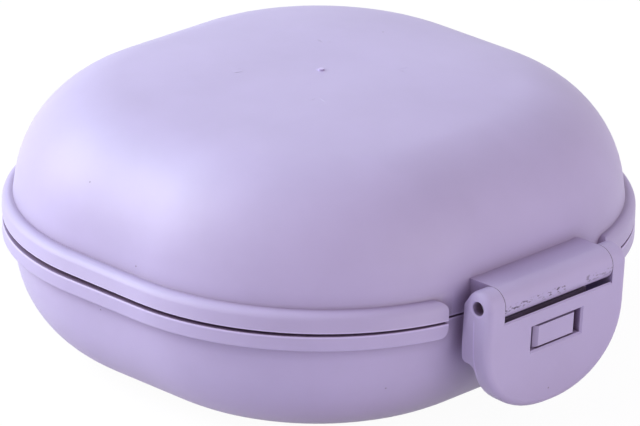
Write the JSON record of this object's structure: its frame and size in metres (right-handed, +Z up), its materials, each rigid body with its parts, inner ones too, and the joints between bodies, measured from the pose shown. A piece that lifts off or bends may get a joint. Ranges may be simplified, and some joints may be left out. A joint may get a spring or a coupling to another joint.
{
  "type": "soap dish",
  "caption": "Lidded travel soap dish: a shallow rounded-square moulded box with a domed hinged lid, a swinging front latch, a rim seal and a lift-out draining tray.",
  "frame": {"origin": "centre of the footprint of the closed box, latch and hinge included, on the plane it rests on", "axes": "+Z up, -Y towards the latch at the front, +Y towards the hinge at the back, +X to the right when facing the latch"},
  "size_m": [0.106, 0.1164, 0.0516],
  "materials": {
    "lavender_plastic": "fine satin moulded surface",
    "pin_steel": "drawn wire",
    "seal_silicone": "soft matte"
  },
  "bodies": {
    "base": {"base_shell": "lavender_plastic", "drain_tray": "lavender_plastic", "hinge_pin": "pin_steel"},
    "lid": {"lid_shell": "lavender_plastic", "seal_ring": "seal_silicone"},
    "latch": {"latch_flap": "lavender_plastic", "latch_pin": "pin_steel"}
  },
  "joints": [
    {"name": "lid_hinge", "type": "hinge", "parent": "base", "child": "lid", "pos_m": [0, 0.05525, 0.0243], "axis": [-1, 0, 0], "range_deg": [0, 120]},
    {"name": "latch_hinge", "type": "hinge", "parent": "lid", "child": "latch", "pos_m": [0, -0.05525, 0.0273], "axis": [-1, 0, 0], "range_deg": [0, 180]}
  ]
}
